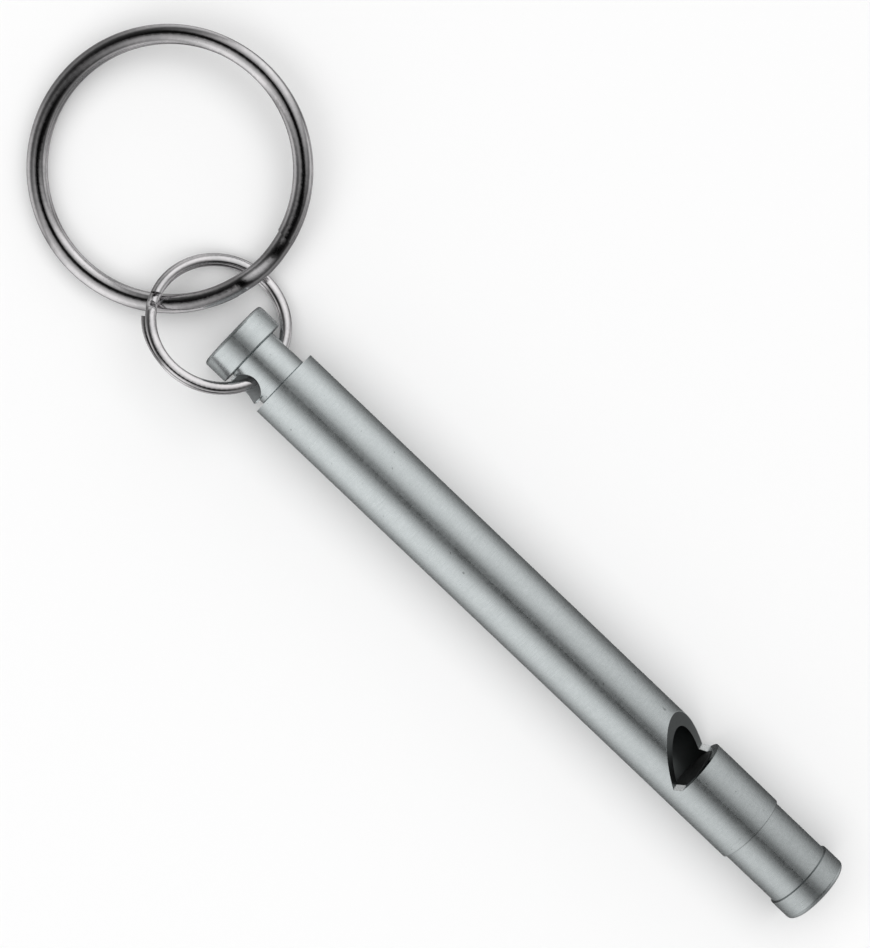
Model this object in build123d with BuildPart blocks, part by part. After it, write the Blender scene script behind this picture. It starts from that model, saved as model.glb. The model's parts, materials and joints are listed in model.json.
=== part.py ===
"""Pocket training whistle: a tube, a plug at each end of it and two linked split rings.

The whistle lies on its side. +X runs along its axis towards the mouth end, +Z is up from the surface
that it lies on. The origin is on the axis, where the tube begins behind the neck.
"""

from build123d import *
import os
from math import cos, radians, sin, tan

# Tube, in millimetres
tube_radius = 4.0
bore_radius = 3.0
tube_length = 76.55
lip_radius = 0.5
mouth_chamfer = 0.25

# Grip groove round the mouthpiece
groove_start = 66.9
groove_end = 73.9
groove_depth = 0.22
groove_bevel = 0.08

# Voicing window: a slanted ramp, a short steep flank and a wall square to the axis
window_turn = 43.2  # degrees from +Y towards +Z
ramp_start = 52.35
notch_bottom = 57.7
window_wall = 58.4
notch_height = 0.25  # above the tube's axis
cutter_overrun = 1.5

# Windway block in the mouth end
block_recess = 0.3
windway_at_mouth = 0.95
windway_at_window = 0.75
block_chamfer = 0.15

# Hanger plug: cap, neck and spigot
cap_radius = 4.05
cap_length = 2.85
cap_round = 0.35
cap_chamfer = 0.06
neck_radius = 2.95
neck_length = 4.45
relief_depth = 0.1
relief_width = 0.12
spigot_length = 6.0
spigot_chamfer = 0.3

# Ring hole through the neck, and the half-round lip under its lower mouth
hole_radius = 1.6
hole_from_cap = 2.115
hole_tilt = 23.0  # degrees above the surface that the whistle lies on
lip_wall = 0.17
lip_reach = 3.6
lip_scoop_radius = 2.2
lip_scoop_depth = 0.7

# Small split ring
small_mean_radius = 7.05
small_wire_width = 1.15
small_coil_height = 0.63
small_droop = 4.25  # degrees below level, from the neck outwards
small_seat = 0.3  # how far the wire sits past the middle of the hole
small_end_turn = -158.0
small_crank_turn = 14.0
small_flare = 0.3

# Large split ring
large_mean_radius = 13.77
large_wire_width = 1.95
large_coil_height = 1.12
large_centre = (-23.6, 7.8, -1.33)
large_roll = 6.4  # degrees, the side towards +Y raised
large_pitch = 1.35  # degrees, the side towards the whistle raised
large_end_turn = 10.0
large_crank_turn = 26.0

# Both split rings. The wire climbs from one coil to the next over its crank turn.
coil_gap = 0.05
end_gap = 2.5
flare_turn = 42.0
end_skew = 0.28  # of the wire's width: how much further its outer edge reaches at a sheared end


def split_ring(mean_radius, wire_width, coil_height, crank_turn, handed, flare):
    """An oval wire wound twice round +Z; the wire's end on the top coil is at +X."""
    climb = coil_height + coil_gap

    def at(turn, radius, height):
        angle = radians(turn) * handed
        return Vector(radius * cos(angle), radius * sin(angle), height)

    def along(turn):
        angle = radians(turn) * handed
        return Vector(-sin(angle), cos(angle), 0) * handed

    first = crank_turn + end_gap
    last = 360 - end_gap
    ends = [(at(first, mean_radius + flare, -climb), 1), (at(last, mean_radius, 0), -1)]
    skew = end_skew * wire_width
    with BuildPart() as ring:
        with BuildLine() as wire:
            if flare:
                Spline(
                    at(first, mean_radius + flare, -climb / 2),
                    at(first + flare_turn, mean_radius, -climb / 2),
                    tangents=[along(first), along(first + flare_turn)],
                )
                first = first + flare_turn
            CenterArc((0, 0, -climb / 2), mean_radius, first * handed, (360 - first) * handed)
            Spline(
                at(0, mean_radius, -climb / 2),
                at(crank_turn, mean_radius, climb / 2),
                tangents=[along(0), along(crank_turn)],
            )
            CenterArc((0, 0, climb / 2), mean_radius, crank_turn * handed, (last - crank_turn) * handed)
        with BuildSketch(Plane(wire.line @ 0, x_dir=(0, 0, 1), z_dir=wire.line % 0)):
            Ellipse(coil_height / 2, wire_width / 2)
        guide = Wire(wire.line.edges()).moved(Location((0, 0, mean_radius)))
        sweep(path=wire.line, binormal=guide)
        # Each end is sheared off askew; back is the way along +Y from the end to its coil
        for place, back in ends:
            back = back * handed
            outwards = Vector(place.X, place.Y, 0)
            with BuildSketch(Plane(place, x_dir=outwards, z_dir=(0, 0, 1))):
                with BuildLine():
                    Polyline(
                        (-wire_width, 1.5 * skew * back),
                        (wire_width, -0.5 * skew * back),
                        (wire_width, -2 * skew * back),
                        (-wire_width, -2 * skew * back),
                        close=True,
                    )
                make_face()
            extrude(amount=climb, mode=Mode.SUBTRACT)
    return ring.part


# Shared places and directions
cap_end = -neck_length - cap_length
hole_centre = Vector(-neck_length + hole_from_cap, 0, 0)
hole_axis = Vector(0, -cos(radians(hole_tilt)), sin(radians(hole_tilt)))
hole_plane = Plane(hole_centre, x_dir=(1, 0, 0), z_dir=hole_axis)
window_plane = Plane.XY.rotated((window_turn, 0, 0))
ramp_slope = (tube_radius - notch_height) / (notch_bottom - ramp_start)

# Tube
with BuildPart() as whistle_tube:
    with BuildSketch(Plane.XZ):
        with BuildLine():
            Polyline(
                (0, bore_radius),
                (0, tube_radius),
                (groove_start - groove_bevel / 2, tube_radius),
                (groove_start + groove_bevel / 2, tube_radius - groove_depth),
                (groove_end - groove_bevel / 2, tube_radius - groove_depth),
                (groove_end + groove_bevel / 2, tube_radius),
                (tube_length - lip_radius, tube_radius),
            )
            RadiusArc(
                (tube_length - lip_radius, tube_radius),
                (tube_length, tube_radius - lip_radius),
                lip_radius,
            )
            Polyline(
                (tube_length, tube_radius - lip_radius),
                (tube_length, bore_radius + mouth_chamfer),
                (tube_length - mouth_chamfer, bore_radius),
                (0, bore_radius),
            )
        make_face()
    revolve(axis=Axis.X)
    with BuildSketch(window_plane):
        with BuildLine():
            Polyline(
                (ramp_start - cutter_overrun / ramp_slope, tube_radius + cutter_overrun),
                (notch_bottom, notch_height),
                (window_wall, notch_height + window_wall - notch_bottom),
                (window_wall, tube_radius + cutter_overrun),
                close=True,
            )
        make_face()
    extrude(amount=tube_radius + cutter_overrun, both=True, mode=Mode.SUBTRACT)
whistle_tube.part.label = "whistle_tube"

# Windway block, a press fit in the bore with a sloping flat on the window's side
block_end = tube_length - block_recess
with BuildPart() as windway_block:
    with BuildSketch(Plane.YZ.offset(window_wall)):
        Circle(bore_radius)
    extrude(amount=block_end - window_wall)
    chamfer(windway_block.edges().group_by(Axis.X)[-1], block_chamfer)
    with BuildSketch(window_plane):
        with BuildLine():
            Polyline(
                (window_wall, bore_radius - windway_at_window),
                (block_end, bore_radius - windway_at_mouth),
                (block_end, bore_radius + cutter_overrun),
                (window_wall, bore_radius + cutter_overrun),
                close=True,
            )
        make_face()
    extrude(amount=bore_radius + cutter_overrun, both=True, mode=Mode.SUBTRACT)
windway_block.part.label = "windway_block"

# Hanger plug, turned from one bar
with BuildPart() as hanger_plug:
    with BuildSketch(Plane.XZ):
        with BuildLine():
            Polyline(
                (cap_end, 0),
                (cap_end, cap_radius - cap_round),
            )
            RadiusArc(
                (cap_end, cap_radius - cap_round),
                (cap_end + cap_round, cap_radius),
                cap_round,
            )
            Polyline(
                (cap_end + cap_round, cap_radius),
                (-neck_length - cap_chamfer, cap_radius),
                (-neck_length, cap_radius - cap_chamfer),
                (-neck_length, neck_radius - relief_depth),
                (-neck_length + relief_width, neck_radius),
                (-relief_width, neck_radius),
                (0, neck_radius - relief_depth),
                (0, bore_radius),
                (spigot_length - spigot_chamfer, bore_radius),
                (spigot_length, bore_radius - spigot_chamfer),
                (spigot_length, 0),
                (cap_end, 0),
            )
        make_face()
    revolve(axis=Axis.X)
    # Half-round lip, open upwards, scooped at its end
    with BuildSketch(hole_plane):
        Circle(hole_radius + lip_wall)
        with Locations((0, hole_radius)):
            Rectangle(4 * hole_radius, 2 * hole_radius, mode=Mode.SUBTRACT)
    extrude(amount=lip_reach)
    scoop_height = lip_reach - lip_scoop_depth + lip_scoop_radius
    scoop_centre = hole_centre + hole_axis * scoop_height
    with BuildSketch(Plane(scoop_centre, x_dir=(1, 0, 0), z_dir=hole_plane.y_dir)):
        Circle(lip_scoop_radius)
    extrude(amount=2 * hole_radius, both=True, mode=Mode.SUBTRACT)
    with BuildSketch(hole_plane):
        Circle(hole_radius)
    extrude(amount=cap_radius + lip_reach, both=True, mode=Mode.SUBTRACT)
hanger_plug.part.label = "hanger_plug"

# Small split ring, through the hole in the neck
small_reach = Vector(-1, 0, 0).rotate(Axis((0, 0, 0), tuple(hole_axis)), small_droop)
small_centre = hole_centre + small_reach * (small_mean_radius - small_seat)
small_plane = Plane(small_centre, x_dir=(1, 0, 0), z_dir=small_reach.cross(hole_axis))
small_ring = split_ring(
    small_mean_radius, small_wire_width, small_coil_height, small_crank_turn, 1, small_flare
)
small_ring = small_ring.rotate(Axis.Z, small_end_turn).moved(small_plane.location)
small_ring.label = "small_split_ring"

# Large split ring, through the small one
large_up = Vector(-tan(radians(large_pitch)), -tan(radians(large_roll)), 1)
large_plane = Plane(large_centre, x_dir=(1, 0, 0), z_dir=large_up)
large_ring = split_ring(
    large_mean_radius, large_wire_width, large_coil_height, large_crank_turn, -1, 0
)
large_ring = large_ring.rotate(Axis.Z, large_end_turn).moved(large_plane.location)
large_ring.label = "large_split_ring"

os.makedirs("parts", exist_ok=True)
export_step(whistle_tube.part, "parts/whistle_tube.step")
export_step(windway_block.part, "parts/windway_block.step")
export_step(hanger_plug.part, "parts/hanger_plug.step")
export_step(small_ring, "parts/small_split_ring.step")
export_step(large_ring, "parts/large_split_ring.step")
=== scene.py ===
"""A pocket training whistle and its two linked split rings, lying on a pale floor.

The shapes are the CAD nodes themselves. This script gives each one its finish, and adds the floor,
the studio light and the camera. Everything is in metres, in the row's frame.
"""

import json
import math

import bpy
import numpy
from mathutils import Matrix, Vector


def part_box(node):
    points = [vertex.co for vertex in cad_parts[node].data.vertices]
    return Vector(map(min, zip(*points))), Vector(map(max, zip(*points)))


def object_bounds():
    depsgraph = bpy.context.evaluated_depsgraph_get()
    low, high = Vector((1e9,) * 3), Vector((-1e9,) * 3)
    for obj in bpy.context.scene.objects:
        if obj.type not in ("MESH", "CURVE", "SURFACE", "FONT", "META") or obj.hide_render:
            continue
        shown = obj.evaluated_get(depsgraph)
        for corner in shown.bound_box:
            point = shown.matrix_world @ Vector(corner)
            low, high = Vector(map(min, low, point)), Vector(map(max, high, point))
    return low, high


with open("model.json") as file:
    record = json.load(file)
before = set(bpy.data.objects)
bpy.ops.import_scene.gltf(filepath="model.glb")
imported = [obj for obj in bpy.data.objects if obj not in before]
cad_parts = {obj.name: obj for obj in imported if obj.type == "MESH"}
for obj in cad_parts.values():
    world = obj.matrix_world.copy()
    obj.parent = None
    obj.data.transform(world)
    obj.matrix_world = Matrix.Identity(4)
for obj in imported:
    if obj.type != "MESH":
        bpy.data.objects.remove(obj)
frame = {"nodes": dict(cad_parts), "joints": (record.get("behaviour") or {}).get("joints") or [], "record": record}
cad_low, cad_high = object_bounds()

MM = 0.001

# Camera: how far it stands from the whistle, and how far the whistle's far end is tilted away from it
CAMERA_DISTANCE = 273 * MM
CAMERA_TILT = math.radians(3.0)
CAMERA_TURN = math.radians(43.7)  # of the whistle's axis below level, in the picture
CAMERA_LENS = 100.6  # millimetres, on a sensor this wide:
CAMERA_SENSOR = 36
CAMERA_TARGET = Vector((17.7 * MM, 4.0 * MM, 0))

# Light round the whistle's axis: degrees from straight above towards +Y, and share of full brightness
LIGHT_ROUND = ((-180, 0.06), (-145, 0.17), (-127, 0.31), (-104, 0.54), (-80, 0.75), (-58, 0.76),
               (-36, 0.50), (-20, 0.25), (-12, 0.07), (-6, 0.0), (2, 0.0), (9, 0.18), (20, 0.44),
               (40, 0.69), (62, 0.79), (85, 0.67), (104, 0.43), (127, 0.21), (145, 0.12), (180, 0.06))
# How it fades towards the axis's ends: the direction's part along +X, and share
LIGHT_ALONG = ((-1, 0.12), (-0.62, 0.12), (-0.45, 0.27), (-0.28, 0.8), (-0.12, 1.0), (0.04, 0.95),
               (0.2, 0.72), (0.36, 0.42), (0.54, 0.2), (0.75, 0.12), (1, 0.12))
LIGHT_SKEW = 0.06  # how far that moves towards -X on the +Y side and towards +X on the -Y side
# The least light near the horizon: the direction's part along +Z, and share of full brightness
LEAST_ROUND = ((-1, 0.015), (-0.8, 0.08), (-0.6, 0.28), (-0.35, 0.42), (0.0, 0.46), (0.25, 0.44),
               (0.45, 0.31), (0.62, 0.12), (0.78, 0.03), (1, 0.01))
# How that changes towards the axis's ends, alike at both: the direction's part along X, and share
LEAST_ALONG = ((-1, 0.1), (0, 0.1), (0.28, 0.3), (0.45, 0.85), (0.6, 1.0), (0.76, 0.9), (0.86, 0.6),
               (0.95, 0.33), (1, 0.25))
LIGHT_FULL = 1.36  # the radiance where the share is 1
BACKDROP_COLOUR = (0.92, 0.92, 0.92, 1)

# Floor, and the lamp that lights it
FLOOR_RADIUS = 4.0
FLOOR_GAP = 0.01 * MM
FLOOR_LAMP_SIZE = 2.4
FLOOR_LAMP_RADIANCE = 1.42

# Places on the whistle, from the frame
tube_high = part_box("whistle_tube")[1]
block_low, block_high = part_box("windway_block")
swing = next(joint for joint in frame["joints"] if joint["name"] == "small_ring_swing")
TUBE_RADIUS = tube_high.z
BORE_RADIUS = block_high.z
WINDOW_WALL = block_low.x
WINDOW_LENGTH = 8 * MM  # from the wall to past the ramp's start
WINDOW_FLANK = 0.7 * MM  # the steep cut in front of the wall, where a highlight is painted
END_COLLAR = 2.65 * MM  # the tube's full round between the groove and the mouth
GROOVE_START = frame["record"]["mounts"][0]["dims"]["length_mm"] * MM  # where the barrel mount ends
GROOVE_END = tube_high.x - END_COLLAR
HOLE_CENTRE = Vector(swing["pos_m"])
HOLE_AXIS = Vector(swing["axis"])
HOLE_RADIUS = 1.6 * MM

# How far off a surface still counts as on it
BORE_MARGIN = 0.06 * MM
SKIN_MARGIN = 0.03 * MM
HOLE_MARGIN = 0.02 * MM
WALL_MARGIN = 0.01 * MM

# A corner's painted shade: solid up to the first distance from it, and gone at the second
CORNER_SHADE_NEAR = 0.03 * MM
CORNER_SHADE_FAR = 0.09 * MM

# Patterns, as noise cells per metre, and for the two kinds of line also per radian round their axis
GRAIN_CELLS = 2600
CLOUD_CELLS = 300
PIT_CELLS = 1900
TURNING_CELLS = 9000
TURNING_CELLS_ROUND = 1.6
DRAWING_CELLS = 14000
DRAWING_CELLS_ROUND = 3.0
WIRE_CLOUD_CELLS = 500
SCRATCH_CELLS = 3800
PLASTIC_CELLS = 900
FLOOR_CELLS = 3

# Depths of the relief
ALUMINIUM_RELIEF = 0.0055 * MM
WIRE_RELIEF = 0.004 * MM
PLASTIC_RELIEF = 0.01 * MM

# Colours
SKIN_DULL = (0.605, 0.645, 0.650, 1)
SKIN_BRIGHT = (0.675, 0.715, 0.722, 1)
MARK_COLOUR = (0.46, 0.50, 0.505, 1)
PIT_COLOUR = (0.22, 0.24, 0.24, 1)
# painted shade for the narrow corners of the groove
CORNER_SHADE_COLOUR = (0.12, 0.13, 0.13, 1)
# painted highlight for the window's steep flank
FLANK_HIGHLIGHT_COLOUR = (0.74, 0.76, 0.76, 1)
# painted shade for the bore and the window's ramp
WINDOW_SHADE_COLOUR = (0.13, 0.14, 0.14, 1)
HOLE_COLOUR = (0.46, 0.48, 0.485, 1)
NICKEL_DULL = (0.66, 0.65, 0.66, 1)
NICKEL_BRIGHT = (0.77, 0.75, 0.76, 1)
SCRATCH_COLOUR = (0.45, 0.43, 0.44, 1)
PLASTIC_DARK = (0.016, 0.017, 0.017, 1)
PLASTIC_LIGHT = (0.032, 0.033, 0.033, 1)
FLOOR_DARK = (0.86, 0.86, 0.86, 1)
FLOOR_LIGHT = (0.88, 0.88, 0.88, 1)


class Nodes:
    """A node tree, with short calls for the nodes that the finishes and the light are made of."""

    def __init__(self, owner):
        owner.use_nodes = True
        self.tree = owner.node_tree
        self.tree.nodes.clear()

    def put(self, socket, value):
        """Links value to a socket if it is another node's output, or else stores it there."""
        if isinstance(value, bpy.types.NodeSocket):
            self.tree.links.new(value, socket)
        else:
            socket.default_value = value

    def node(self, kind, inputs, output=0, **settings):
        node = self.tree.nodes.new("ShaderNode" + kind)
        for name, value in settings.items():
            setattr(node, name, value)
        for name, value in inputs.items():
            self.put(node.inputs[name], value)
        return node.outputs[output]

    def math(self, operation, first, second=0.0, third=0.0):
        return self.node("Math", {0: first, 1: second, 2: third}, operation=operation)

    def hypotenuse(self, first, second):
        squares = self.math("ADD", self.math("MULTIPLY", first, first), self.math("MULTIPLY", second, second))
        return self.math("SQRT", squares)

    def vector(self, operation, first, second=(0, 0, 0), output="Vector"):
        return self.node("VectorMath", {0: first, 1: second}, output, operation=operation)

    def noise(self, vector, scale, detail=3.0, roughness=0.55):
        inputs = {"Vector": vector, "Scale": scale, "Detail": detail, "Roughness": roughness}
        return self.node("TexNoise", inputs, "Fac")

    def band(self, value, low, high, bottom=0.0, top=1.0):
        """value's stretch from low to high, mapped to bottom and top and smoothed at both."""
        inputs = {"Value": value, "From Min": low, "From Max": high, "To Min": bottom, "To Max": top}
        return self.node("MapRange", inputs, interpolation_type="SMOOTHSTEP")

    def colour(self, factor, first, second):
        """Mixes two colours: a Mix node takes them at inputs 6 and 7 and gives the result at output 2."""
        node = self.tree.nodes.new("ShaderNodeMix")
        node.data_type = "RGBA"
        for index, value in ((0, factor), (6, first), (7, second)):
            self.put(node.inputs[index], value)
        return node.outputs[2]

    def split(self, vector):
        node = self.tree.nodes.new("ShaderNodeSeparateXYZ")
        self.put(node.inputs[0], vector)
        return node.outputs[0], node.outputs[1], node.outputs[2]

    def join(self, x, y, z):
        return self.node("CombineXYZ", {0: x, 1: y, 2: z})

    def profile(self, value, points):
        """A smooth curve through points, each a value from -1 to 1 and a share from 0 to 1."""
        node = self.tree.nodes.new("ShaderNodeFloatCurve")
        handles = node.mapping.curves[0].points
        for _ in points[2:]:
            handles.new(0.5, 0.5)
        for handle, (place, share) in zip(handles, points):
            handle.location = (place / 2 + 0.5, share)
        node.mapping.update()
        self.put(node.inputs["Value"], self.math("MULTIPLY_ADD", value, 0.5, 0.5))
        return node.outputs[0]


class Material(Nodes):
    def __init__(self, name):
        self.material = bpy.data.materials.new(name)
        super().__init__(self.material)
        self.shader = self.tree.nodes.new("ShaderNodeBsdfPrincipled")
        output = self.tree.nodes.new("ShaderNodeOutputMaterial")
        self.tree.links.new(self.shader.outputs["BSDF"], output.inputs["Surface"])
        self.object_coordinates = self.node("TexCoord", {}, "Object")

    def bump(self, height, distance):
        return self.node("Bump", {"Height": height, "Distance": distance})

    def finish(self, **sockets):
        for name, value in sockets.items():
            self.put(self.shader.inputs[name.replace("_", " ")], value)
        return self.material


def round_axis(finish):
    """Distance along the whistle's axis, distance from it and angle round it, in metres and radians."""
    along, across, up = finish.split(finish.object_coordinates)
    return along, finish.hypotenuse(across, up), finish.math("ARCTAN2", up, across)


def fine_lines(finish, first, angle, second, cells, cells_round, **noise):
    """Fine lines round an axis: noise that is fine in two distances and long in the angle."""
    first = finish.math("MULTIPLY", first, cells)
    second = finish.math("MULTIPLY", second, cells)
    drawn_out = finish.math("MULTIPLY", angle, cells_round)
    return finish.noise(finish.join(first, drawn_out, second), 1.0, **noise)


def turning_marks(finish, along, radius, angle):
    """Fine lines round the whistle's axis, as a lathe or a belt leaves them."""
    return fine_lines(finish, along, angle, radius, TURNING_CELLS, TURNING_CELLS_ROUND,
                      detail=4.0, roughness=0.7)


def tube_cuts(finish, along, radius):
    """1 in the bore and on the window's ramp, where shade is painted, and 1 on the window's steep flank, where a
    highlight is painted.
    """
    bore = finish.math("LESS_THAN", radius, BORE_RADIUS + BORE_MARGIN)
    below_skin = finish.math("LESS_THAN", radius, TUBE_RADIUS - SKIN_MARGIN)
    past_ramp_start = finish.math("GREATER_THAN", along, WINDOW_WALL - WINDOW_LENGTH)
    before_flank = finish.math("LESS_THAN", along, WINDOW_WALL - WINDOW_FLANK)
    before_wall = finish.math("LESS_THAN", along, WINDOW_WALL - WALL_MARGIN)
    window = finish.math("MULTIPLY", below_skin, past_ramp_start)
    dark = finish.math("MAXIMUM", bore, finish.math("MULTIPLY", window, before_flank))
    bright = finish.math("MULTIPLY", window, finish.math("SUBTRACT", before_wall, before_flank))
    return dark, finish.math("SUBTRACT", bright, finish.math("MULTIPLY", bright, bore))


def plug_cuts(finish, along, radius):
    """1 on the wall of the ring hole, and nothing bright. It is called as tube_cuts is."""
    offset = finish.vector("SUBTRACT", finish.object_coordinates, tuple(HOLE_CENTRE))
    sideways = finish.vector("CROSS_PRODUCT", offset, tuple(HOLE_AXIS))
    from_axis = finish.vector("LENGTH", sideways, output="Value")
    return finish.math("LESS_THAN", from_axis, HOLE_RADIUS + HOLE_MARGIN), 0.0


def painted_corner_shade(finish, along, corners):
    """1 in the narrow corners at these places along the axis, where shade is painted."""
    corner_shade = 0.0
    for corner in corners:
        distance = finish.math("ABSOLUTE", finish.math("SUBTRACT", along, corner))
        corner_shade = finish.math("MAXIMUM", corner_shade, finish.band(distance, CORNER_SHADE_NEAR, CORNER_SHADE_FAR, 1.0, 0.0))
    return corner_shade


def aluminium(name, cuts, cut_and_shade_colour, cut_metallic, corners):
    """Satin aluminium with turning marks, grain, fine pits and painted shade in narrow corners, left matt where it
    is cut; on the tube that cut colour is painted shade, and the flank gets a painted highlight.
    """
    finish = Material(name)
    along, radius, angle = round_axis(finish)
    dark, bright = cuts(finish, along, radius)
    corner_shade = painted_corner_shade(finish, along, corners)
    marks = turning_marks(finish, along, radius, angle)
    grain = finish.noise(finish.object_coordinates, GRAIN_CELLS, detail=3.0, roughness=0.65)
    cloud = finish.noise(finish.object_coordinates, CLOUD_CELLS, detail=3.0, roughness=0.5)
    pits = finish.band(finish.noise(finish.object_coordinates, PIT_CELLS, detail=1.0), 0.76, 0.82)

    skin = finish.colour(finish.band(grain, 0.3, 0.7), SKIN_DULL, SKIN_BRIGHT)
    skin = finish.colour(finish.band(marks, 0.3, 0.7, 0.0, 0.16), skin, MARK_COLOUR)
    skin = finish.colour(finish.math("MULTIPLY", pits, 0.6), skin, PIT_COLOUR)
    # painted shade darkens the groove's narrow corners
    skin = finish.colour(finish.math("MULTIPLY", corner_shade, 0.55), skin, CORNER_SHADE_COLOUR)
    # painted highlight on the window's steep flank
    skin = finish.colour(bright, skin, FLANK_HIGHLIGHT_COLOUR)
    # on the tube this is painted shade in the bore and on the window's ramp; on the plug it is the ring hole
    # wall's matt colour
    colour = finish.colour(dark, skin, cut_and_shade_colour)

    metallic = finish.math("SUBTRACT", 1.0, finish.math("MULTIPLY", dark, 1.0 - cut_metallic))
    # the flank's painted highlight is also made less metallic, so it reads lighter
    metallic = finish.math("SUBTRACT", metallic, finish.math("MULTIPLY", bright, 0.65))

    rough = finish.math("ADD", finish.band(marks, 0.25, 0.75, 0.24, 0.30),
                        finish.band(cloud, 0.3, 0.7, -0.015, 0.015))
    rough = finish.math("ADD", rough, finish.band(grain, 0.3, 0.7, -0.02, 0.02))
    rough = finish.math("ADD", rough, finish.math("MULTIPLY", dark, 0.14))

    relief = finish.math("ADD", finish.math("MULTIPLY", marks, 0.35), finish.math("MULTIPLY", grain, 0.65))
    relief = finish.math("SUBTRACT", relief, pits)
    normal = finish.bump(relief, ALUMINIUM_RELIEF)
    tangent = finish.node("Tangent", {}, direction_type="RADIAL", axis="X")
    return finish.finish(Base_Color=colour, Metallic=metallic, Roughness=rough, Normal=normal,
                         Tangent=tangent, Anisotropic=0.55)


def ring_axis(node):
    """The direction in which a ring is thinnest, which is square to its coils."""
    points = numpy.array([vertex.co for vertex in frame["nodes"][node].data.vertices])
    return Vector(numpy.linalg.svd(points - points.mean(axis=0), full_matrices=False)[2][2])


def polished_wire(name, node):
    """Nickelled spring wire: bright, with faint drawing lines along the wire and handling scratches."""
    finish = Material(name)
    low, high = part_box(node)
    centre = (low + high) / 2
    turned = ring_axis(node).to_track_quat("Z", "Y").inverted().to_matrix()
    offset = finish.vector("SUBTRACT", finish.object_coordinates, tuple(centre))
    across_x, across_y, height = [finish.vector("DOT_PRODUCT", offset, tuple(row), "Value") for row in turned]
    radius = finish.hypotenuse(across_x, across_y)
    angle = finish.math("ARCTAN2", across_y, across_x)
    lines = fine_lines(finish, radius, angle, height, DRAWING_CELLS, DRAWING_CELLS_ROUND)
    cloud = finish.noise(finish.object_coordinates, WIRE_CLOUD_CELLS)
    scratches = finish.band(finish.noise(finish.object_coordinates, SCRATCH_CELLS, detail=2.0), 0.66, 0.74)
    colour = finish.colour(finish.band(cloud, 0.35, 0.65), NICKEL_DULL, NICKEL_BRIGHT)
    colour = finish.colour(finish.math("MULTIPLY", scratches, 0.4), colour, SCRATCH_COLOUR)
    rough = finish.band(lines, 0.3, 0.7, 0.06, 0.12)
    rough = finish.math("ADD", rough, finish.math("MULTIPLY", scratches, 0.12))
    return finish.finish(Base_Color=colour, Metallic=1.0, Roughness=rough,
                         Normal=finish.bump(lines, WIRE_RELIEF))


def block_plastic(name):
    """Black turned plastic, matt, with the cutter's rings on its end."""
    finish = Material(name)
    along, radius, angle = round_axis(finish)
    marks = turning_marks(finish, along, radius, angle)
    mottle = finish.noise(finish.object_coordinates, PLASTIC_CELLS)
    colour = finish.colour(finish.band(mottle, 0.3, 0.7), PLASTIC_DARK, PLASTIC_LIGHT)
    rough = finish.band(marks, 0.3, 0.7, 0.42, 0.6)
    return finish.finish(Base_Color=colour, Roughness=rough, Normal=finish.bump(marks, PLASTIC_RELIEF))


def dress(node, material):
    """Puts a material on a CAD node."""
    for slot in frame["nodes"][node].material_slots:
        slot.link = "OBJECT"
        slot.material = material


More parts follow.
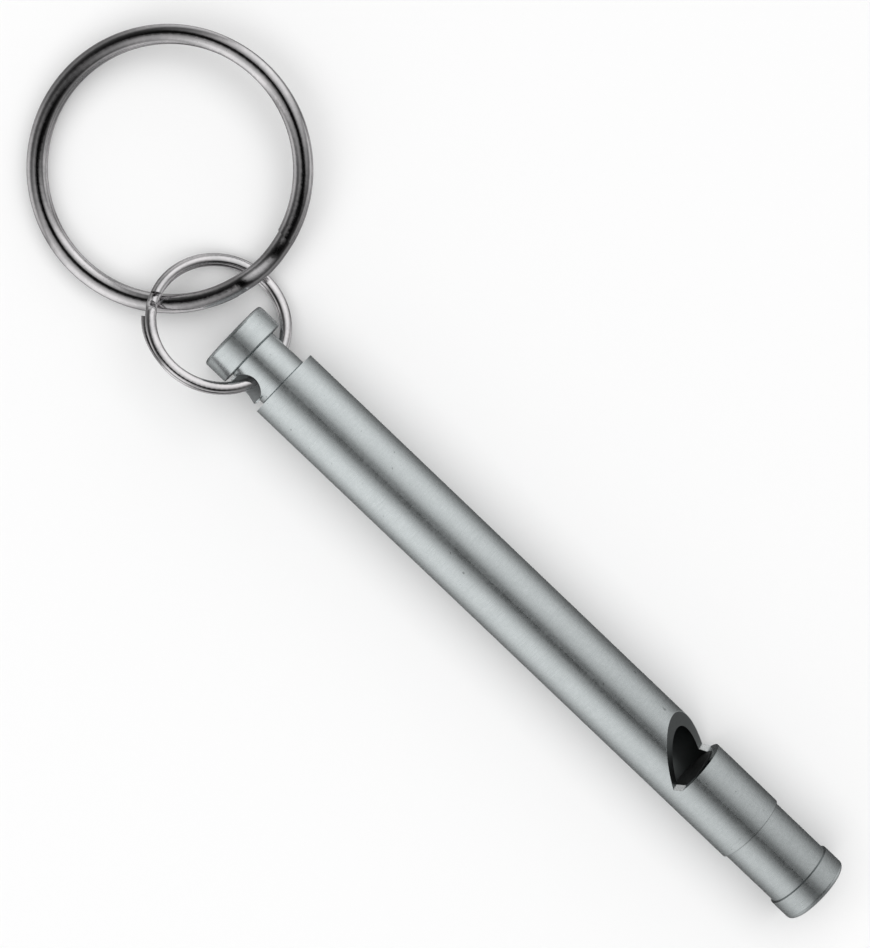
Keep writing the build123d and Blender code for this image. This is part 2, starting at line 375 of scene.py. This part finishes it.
def studio():
    """Soft light from both sides of the whistle, and a broad lamp above for the floor alone.

    LIGHT_ROUND says how bright the room is in each direction round the whistle's axis, and LIGHT_ALONG how
    it fades towards the axis's own two directions. LEAST_ROUND and LEAST_ALONG keep a band of light near
    the horizon, strongest in the slanting directions that the first two leave dark.
    """
    world = bpy.data.worlds.new("studio")
    bpy.context.scene.world = world
    room = Nodes(world)
    along, across, up = room.split(room.node("TexCoord", {}, "Generated"))
    turn = room.math("DIVIDE", room.math("ARCTAN2", across, up), math.pi)
    skewed = room.math("MULTIPLY_ADD", across, LIGHT_SKEW, along)
    round_points = [(degrees / 180, share) for degrees, share in LIGHT_ROUND]
    share = room.math("MULTIPLY", room.profile(turn, round_points), room.profile(skewed, LIGHT_ALONG))
    least = room.math("MULTIPLY", room.profile(up, LEAST_ROUND),
                      room.profile(room.math("ABSOLUTE", along), LEAST_ALONG))
    radiance = room.math("MULTIPLY", room.math("MAXIMUM", share, least), LIGHT_FULL)
    soft_light = room.node("Background", {"Color": radiance})
    backdrop = room.node("Background", {"Color": BACKDROP_COLOUR})
    seen = room.node("LightPath", {}, "Is Camera Ray")
    mixed = room.node("MixShader", {0: seen, 1: soft_light, 2: backdrop})
    room.put(room.tree.nodes.new("ShaderNodeOutputWorld").inputs["Surface"], mixed)

    light = bpy.data.lights.new("light_floor", "AREA")
    light.size = FLOOR_LAMP_SIZE
    light.energy = FLOOR_LAMP_RADIANCE * math.pi * FLOOR_LAMP_SIZE ** 2
    lamp = bpy.data.objects.new("light_floor", light)
    lamp.location = (CAMERA_TARGET.x, 0, FLOOR_LAMP_SIZE / 2)
    lamp.visible_camera = False
    lamp.visible_glossy = False
    bpy.context.scene.collection.objects.link(lamp)


def lay_floor():
    """A plain pale floor, just under the lowest point of the whistle."""
    bpy.ops.mesh.primitive_circle_add(vertices=96, radius=FLOOR_RADIUS, fill_type="NGON",
                                      location=(0, 0, cad_low.z - FLOOR_GAP))
    floor = bpy.context.active_object
    floor.name = "floor"
    finish = Material("floor_card")
    mottle = finish.noise(finish.object_coordinates, FLOOR_CELLS, detail=2.0)
    colour = finish.colour(mottle, FLOOR_DARK, FLOOR_LIGHT)
    floor.data.materials.append(finish.finish(Base_Color=colour, Roughness=0.8, Specular_IOR_Level=0.2))
    floor.visible_glossy = False


def place_camera():
    """The camera looks down on the whistle, whose mouth end points down to the right."""
    camera = bpy.data.cameras.new("camera")
    camera.lens = CAMERA_LENS
    camera.sensor_width = CAMERA_SENSOR
    camera.clip_start = 0.01
    camera.clip_end = 20
    back = Vector((-math.sin(CAMERA_TILT), 0, math.cos(CAMERA_TILT)))
    axis_seen = Vector((math.cos(CAMERA_TILT), 0, math.sin(CAMERA_TILT)))
    across = back.cross(axis_seen)
    right = axis_seen * math.cos(CAMERA_TURN) + across * math.sin(CAMERA_TURN)
    upward = back.cross(right)
    turned = Matrix((right, upward, back)).transposed().to_4x4()
    eye = bpy.data.objects.new("camera", camera)
    eye.matrix_world = Matrix.Translation(CAMERA_TARGET + back * CAMERA_DISTANCE) @ turned
    bpy.context.scene.collection.objects.link(eye)
    bpy.context.scene.camera = eye


groove_corners = (GROOVE_START, GROOVE_END)
dress("whistle_tube", aluminium("satin_aluminium", tube_cuts, WINDOW_SHADE_COLOUR, 1.0, groove_corners))
dress("hanger_plug", aluminium("turned_aluminium", plug_cuts, HOLE_COLOUR, 0.4, ()))
dress("windway_block", block_plastic("block_plastic"))
for ring in ("small_split_ring", "large_split_ring"):
    dress(ring, polished_wire(ring + "_wire", ring))

studio()
lay_floor()
place_camera()
bpy.context.scene.view_settings.view_transform = "Standard"
